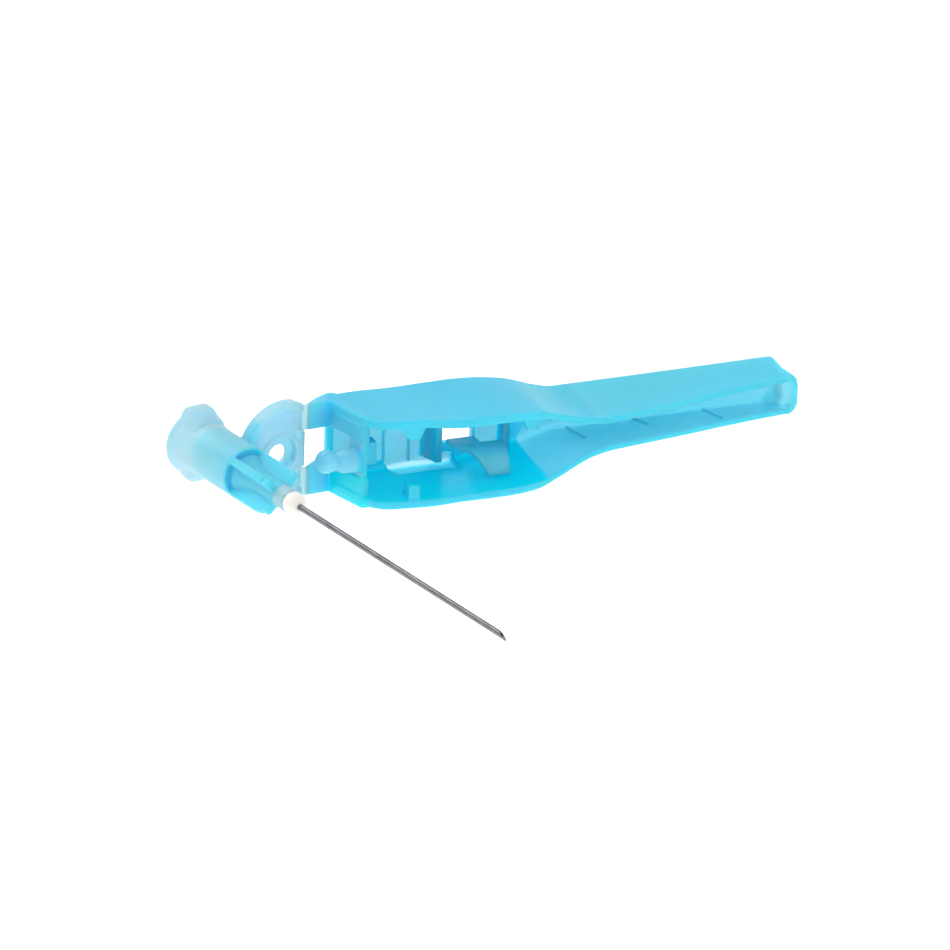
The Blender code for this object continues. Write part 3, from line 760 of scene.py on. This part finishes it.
def hub_parts():
    """Flared rim, round body with a ring groove round the nose, four fins in an X, and the neck."""
    groove_floor = HUB_BODY_END - 0.35
    body = [(3.3, HUB_REAR), (HUB_RIM_RADIUS, HUB_REAR + 0.15), (HUB_RIM_RADIUS, -6.95), (3.25, -6.6),
            (3.02, -5.8), (2.87, -5.0), (2.78, -4.35), (HUB_RADIUS, -3.6), (HUB_RADIUS, HUB_BODY_END - 0.1),
            (HUB_RADIUS - 0.1, HUB_BODY_END), (2.5, HUB_BODY_END), (2.45, groove_floor),
            (2.05, groove_floor), (2.05, 2.9), (1.75, 3.4), (1.4, 4.3), (HUB_CORE_RADIUS, 5.0),
            (HUB_CORE_RADIUS, FIN_END), (NECK_RADIUS, FIN_END + 0.1), (NECK_RADIUS, NECK_END)]
    fins = [hub_fin(radians(45), FIN_REACH - 0.06)]
    fins += [hub_fin(radians(45 + 90 * quarter), FIN_STEP_REACH) for quarter in (1, 2, 3)]
    return [turned(body), hub_lug(1), hub_lug(-1), *fins]


def plate_disc():
    """D-shaped plate with rounded rims, cut off along the hinge line."""
    rings = []
    for z, radius, edge in ((-PLATE_THICKNESS, PLATE_RADIUS - 0.2, PLATE_EDGE - 0.75),
                            (-PLATE_THICKNESS + 0.2, PLATE_RADIUS, PLATE_EDGE - 0.65),
                            (-0.2, PLATE_RADIUS, PLATE_EDGE), (0.0, PLATE_RADIUS - 0.2, PLATE_EDGE)):
        rings.append([(min(x, edge), y, z) for x, y in circle((PLATE_CENTRE, 0.0), radius, 96)])
    return loft(rings)


def build_plate():
    """The latch plate: a disc with a shallow recess, a ring round its stepped socket, and its hinge edge."""
    disc = solid_object("disc", [plate_disc()])
    cut(disc, [prism(circle((PLATE_CENTRE, 0.0), RECESS_RADIUS, 96), -RECESS_DEPTH, 1.0)])
    ring = prism(circle(SOCKET_CENTRE, SOCKET_RADIUS + 0.3), -0.6, -0.02)
    edge = block((7.6, HUB_TO_HINGE + 0.05), (-1.95, 1.95), (-1.2, -0.02))
    plate = solid_object("hub_moulding", [taken_apart(disc), ring, edge])
    skin_over(plate, VOXEL)
    cut(plate, [prism(circle(SOCKET_CENTRE, SOCKET_RADIUS), -SOCKET_DEPTH, 1),
                prism(circle(SOCKET_HOLE_CENTRE, SOCKET_HOLE_RADIUS), -3, 1),
                prism(circle((0.0, 0.0), PLATE_NOTCH_RADIUS), -3, 1),
                block((-9, PLATE_NOTCH_EDGE), (-9, 9), (-3, 1))])
    return plate


def build_hub(material):
    """The hub with its Luer bore, moulded into one skin with the plate."""
    plate = build_plate()
    hub = solid_object("hub_solid", hub_parts())
    skin_over(hub, VOXEL)
    passage = CANNULA_RADIUS + 0.1
    bore = [(LUER_MOUTH_RADIUS + 0.1, HUB_REAR - 0.5), (LUER_MOUTH_RADIUS, HUB_REAR + 0.1),
            (LUER_END_RADIUS, HUB_REAR + LUER_DEPTH), (passage, CANNULA_START + 0.5),
            (passage, NECK_END - 0.3)]
    cut(hub, [turned(bore)])
    mould(plate, [taken_apart(hub)], hub_tone)
    place(plate, HUB_PLACE, material, "hub", "hub_plastic", ("luer_hub", "latch_plate"))


def build_bead(material):
    """A dome of epoxy on the end of the neck."""
    turns = [0.5 * pi * i / 14 for i in range(1, 14)]
    profile = [(1.02, NECK_END - 0.3), (1.14, NECK_END), (1.18, NECK_END + 0.3)]
    profile += [(0.40 + 0.78 * cos(t) ** 0.9, NECK_END + 0.35 + 1.1 * sin(t)) for t in turns]
    profile += [(0.36, NECK_END + 1.48)]
    bead = solid_object("epoxy_dome", [turned(profile, 48)])
    place(bead, HUB_PLACE, material, "hub", "epoxy", ("epoxy_bead",))


def cannula_ring(radius, at_tip):
    """One end of the tube's outer or inner wall: flat at the rear, slanted at the tip."""
    ring = []
    for x, y in circle((0, 0), radius, 48):
        lean = (x * cos(BEVEL_FACING) + y * sin(BEVEL_FACING)) / CANNULA_RADIUS
        tip = CANNULA_TIP - BEVEL_HALF_LENGTH * (1 + lean)
        ring.append((x, y, tip if at_tip else CANNULA_START))
    return ring


def build_cannula(material):
    """Steel tube with a slanted point."""
    rings = [cannula_ring(CANNULA_RADIUS, False), cannula_ring(CANNULA_RADIUS, True),
             cannula_ring(CANNULA_BORE, True), cannula_ring(CANNULA_BORE, False)]
    cannula = solid_object("cannula_tube", [loft(rings, endless=True)])
    place(cannula, HUB_PLACE, material, "hub", "steel", ("cannula",))
    cannula.data.set_sharp_from_angle(angle=radians(30))


# ---------------------------------------------------------------- film hinges

def build_straps(material):
    """Two films, thinnest on the hinge line, that run into the plate and into the yoke's arms."""
    for level, (low, high) in FILM_HEIGHTS.items():
        rings = []
        for i in range(11):
            x = -FILM_HALF_WIDTH + 2 * FILM_HALF_WIDTH * i / 10
            back = FILM_FACE - (FILM_THICKNESS + 0.9 * x * x)
            rings.append([(x, FILM_FACE, low), (x, FILM_FACE, high), (x, back, high), (x, back, low)])
        film = solid_object("hinge_film_" + level, [loft(rings)])
        mould(film, [], even_tone("film"), voxel=FILM_VOXEL, smoothing=2)
        start = HINGE - Vector((FILM_BEND_HALF_WIDTH * MM, 0, 0))
        end = HINGE + Vector((FILM_BEND_HALF_WIDTH * MM, 0, 0))
        place(film, SHEATH_PLACE, material, None, "sheath_plastic", ("hinge_strap_" + level,),
              ("hub", "sheath", start, end))


# ---------------------------------------------------------------- stage

def build_stage():
    """A plain white floor."""
    mesh = bpy.data.meshes.new("floor")
    corners = [(-1, -1), (1, -1), (1, 1), (-1, 1)]
    mesh.from_pydata([(x * FLOOR_HALF_SIZE, y * FLOOR_HALF_SIZE, 0) for x, y in corners], [], [(0, 1, 2, 3)])
    floor = bpy.data.objects.new("floor", mesh)
    floor.location.z = -0.02 * MM
    bpy.context.scene.collection.objects.link(floor)
    material, _, shader = principled("floor_white", Roughness=0.6, Base_Color=grey(0.3), Emission_Color=WHITE,
                                     Emission_Strength=FLOOR_GLOW)
    mesh.materials.append(material)


def add_light(name, where, power):
    """A square area light that faces the object."""
    data = bpy.data.lights.new(name, "AREA")
    data.energy = power
    data.size = LIGHT_SIZE
    light = bpy.data.objects.new(name, data)
    light.location = where
    towards = Vector((0.0, 0.0, 0.005)) - Vector(where)
    light.rotation_euler = towards.to_track_quat("-Z", "Y").to_euler()
    bpy.context.scene.collection.objects.link(light)


def build_lights():
    """Soft white surroundings, a key light behind the object and a weaker fill in front."""
    world = bpy.data.worlds.new("studio")
    world.use_nodes = True
    background = world.node_tree.nodes["Background"]
    background.inputs["Color"].default_value = WHITE
    background.inputs["Strength"].default_value = WORLD_STRENGTH
    bpy.context.scene.world = world
    add_light("key", (-0.25, 0.35, 0.6), 2.0)
    add_light("fill", (0.5, -0.5, 0.5), 0.8)
    bpy.context.scene.view_settings.view_transform = "Standard"


def build_camera():
    """The photo's view: far away through a long lens, so nearly parallel."""
    level = cos(CAMERA_ELEVATION)
    away = Vector((sin(CAMERA_AZIMUTH) * level, -cos(CAMERA_AZIMUTH) * level, sin(CAMERA_ELEVATION)))
    data = bpy.data.cameras.new("camera")
    data.lens = CAMERA_LENS
    data.sensor_width = 36.0
    camera = bpy.data.objects.new("camera", data)
    camera.location = CAMERA_AIM + away * CAMERA_DISTANCE
    camera.rotation_euler = ((-away).to_track_quat("-Z", "Y").to_matrix().to_4x4()
                             @ Matrix.Rotation(CAMERA_ROLL, 4, "Z")).to_euler()
    bpy.context.scene.collection.objects.link(camera)
    bpy.context.scene.camera = camera


build_camera()
sheath_plastic = plastic_material("sheath_polypropylene", SHEATH_COLOURS, 0.35, 600.0, 0.75)
hub_plastic = plastic_material("hub_polypropylene", HUB_COLOURS, 0.42, 350.0, 0.4)
build_sheath(sheath_plastic)
build_rest(sheath_plastic)
build_hub(hub_plastic)
build_straps(hub_plastic)
build_bead(epoxy_material())
build_cannula(steel_material())
build_stage()
build_lights()
